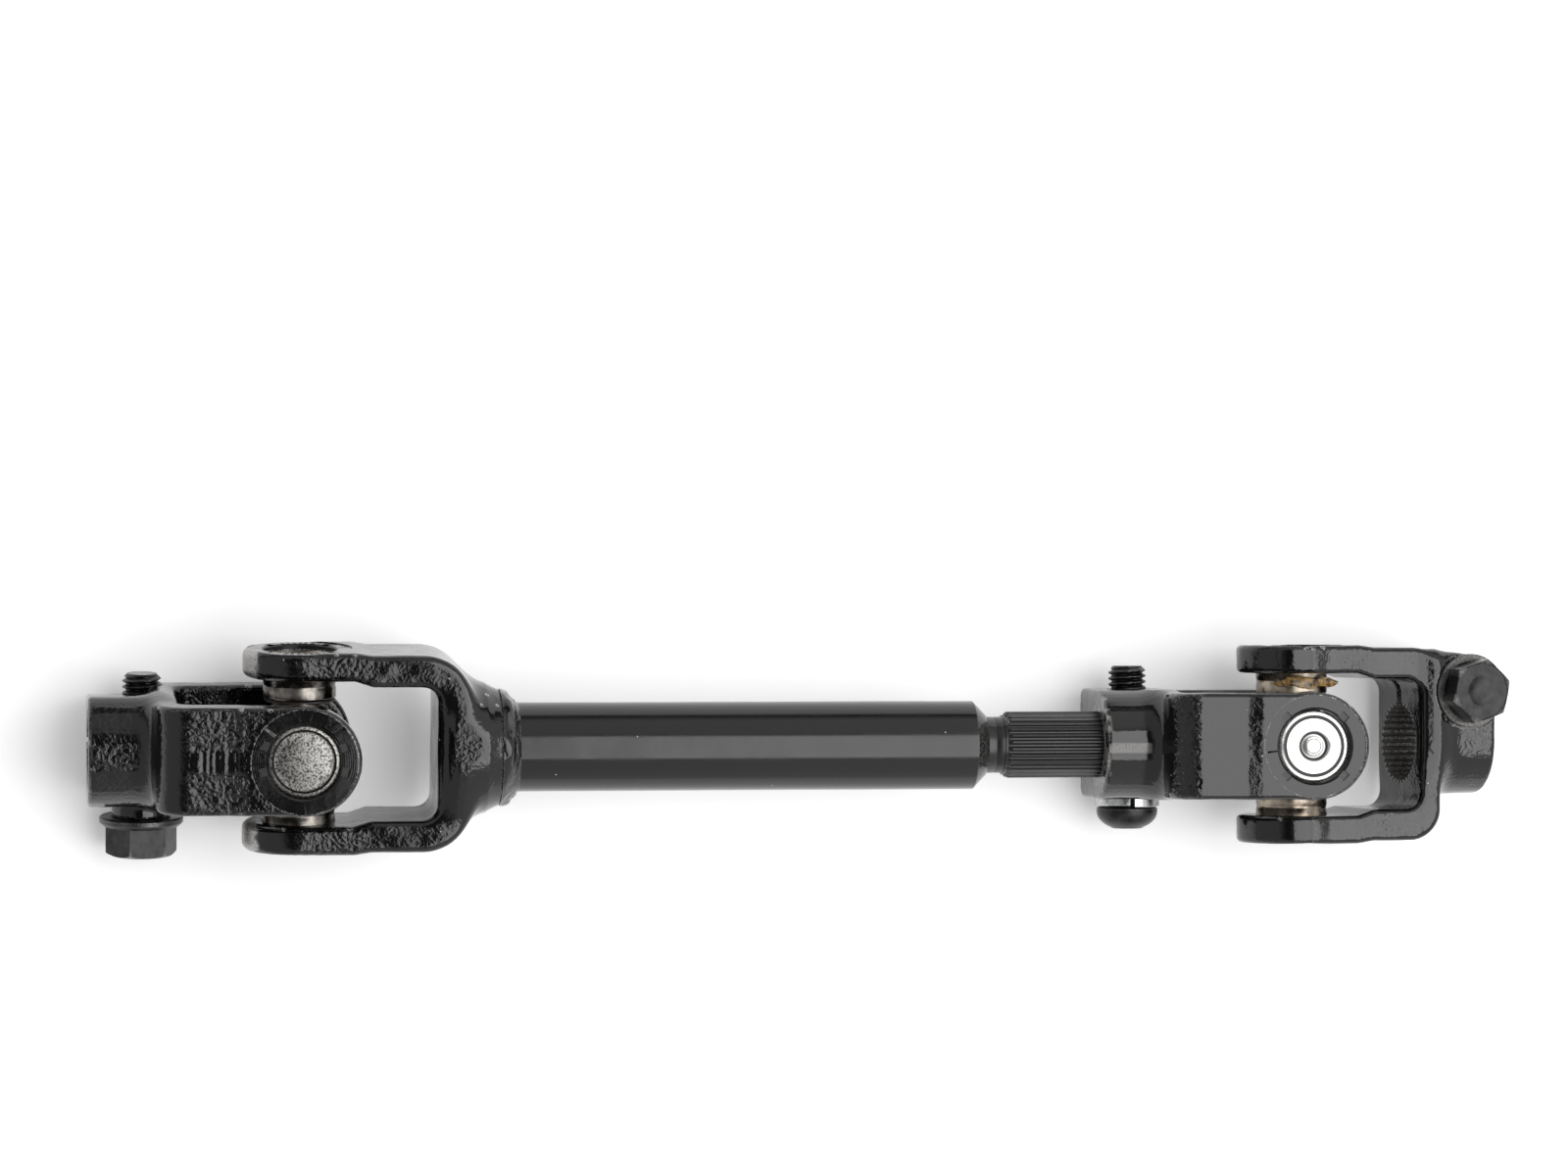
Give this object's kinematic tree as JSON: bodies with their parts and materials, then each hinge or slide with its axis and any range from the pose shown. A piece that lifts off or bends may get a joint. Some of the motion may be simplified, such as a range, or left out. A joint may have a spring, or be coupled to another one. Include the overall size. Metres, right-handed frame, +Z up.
{
  "type": "universal joint shaft",
  "caption": "Steering-type shaft with a Cardan joint at each end, splined pinch-clamp yokes for the mating shafts and a splined slip end that sets its length.",
  "frame": {"origin": "on the shaft's centre line, midway between the centres of the two crosses", "axes": "+X along the shaft from the column-side clamp to the gear-side clamp, +Z up from the surface the shaft lies on, +Y across it"},
  "size_m": [0.299, 0.0454, 0.0442],
  "materials": {
    "yoke_enamel": "gloss black enamel over a rough steel forging",
    "tube_enamel": "gloss black enamel over drawn steel tube",
    "weld_enamel": "black enamel over a lumpy weld bead",
    "black_oxide": "satin black oxide on steel",
    "cup_steel": "bright drawn bearing steel",
    "ground_steel": "ground steel",
    "zinc": "bright zinc plate",
    "seal_rubber": "dark matt rubber"
  },
  "bodies": {
    "shaft": {"shaft_weld_yoke": "yoke_enamel", "weld_yoke_upper_cup": "cup_steel", "weld_yoke_upper_needles": "ground_steel", "weld_yoke_upper_seal": "seal_rubber", "weld_yoke_lower_cup": "cup_steel", "weld_yoke_lower_needles": "ground_steel", "weld_yoke_lower_seal": "seal_rubber", "weld_bead": "weld_enamel", "shaft_tube": "tube_enamel", "splined_stub": "black_oxide"},
    "column_cross": {"column_spider": "ground_steel"},
    "column_yoke": {"column_clamp_yoke": "yoke_enamel", "column_yoke_upper_cup": "cup_steel", "column_yoke_upper_needles": "ground_steel", "column_yoke_upper_seal": "seal_rubber", "column_yoke_lower_cup": "cup_steel", "column_yoke_lower_needles": "ground_steel", "column_yoke_lower_seal": "seal_rubber", "column_pinch_bolt": "black_oxide"},
    "slip_yoke": {"slip_clamp_yoke": "yoke_enamel", "slip_yoke_upper_cup": "cup_steel", "slip_yoke_upper_needles": "ground_steel", "slip_yoke_upper_seal": "seal_rubber", "slip_yoke_lower_cup": "cup_steel", "slip_yoke_lower_needles": "ground_steel", "slip_yoke_lower_seal": "seal_rubber", "slip_pinch_screw": "black_oxide", "slip_lock_washer": "zinc"},
    "gear_cross": {"gear_spider": "ground_steel"},
    "gear_yoke": {"gear_clamp_yoke": "yoke_enamel", "gear_yoke_upper_cup": "cup_steel", "gear_yoke_upper_needles": "ground_steel", "gear_yoke_upper_seal": "seal_rubber", "gear_yoke_lower_cup": "cup_steel", "gear_yoke_lower_needles": "ground_steel", "gear_yoke_lower_seal": "seal_rubber", "gear_pinch_bolt": "black_oxide", "gear_bolt_washer": "black_oxide"}
  },
  "joints": [
    {"name": "column_cross_hinge", "type": "hinge", "parent": "shaft", "child": "column_cross", "pos_m": [-0.10505, 0, 0], "axis": [0, 0.9934, 0.1149], "range_deg": [-30, 30]},
    {"name": "column_yoke_hinge", "type": "hinge", "parent": "column_cross", "child": "column_yoke", "pos_m": [-0.10505, 0, 0], "axis": [0, -0.1149, 0.9934], "range_deg": [-30, 30]},
    {"name": "slip_slide", "type": "slide", "parent": "shaft", "child": "slip_yoke", "axis": [1, 0, 0], "range_m": [-0.007, 0.003]},
    {"name": "gear_cross_hinge", "type": "hinge", "parent": "slip_yoke", "child": "gear_cross", "pos_m": [0.10505, 0, 0], "axis": [0, 0, 1], "range_deg": [-30, 30]},
    {"name": "gear_yoke_hinge", "type": "hinge", "parent": "gear_cross", "child": "gear_yoke", "pos_m": [0.10505, 0, 0], "axis": [0, 1, 0], "range_deg": [-40, 20]}
  ]
}
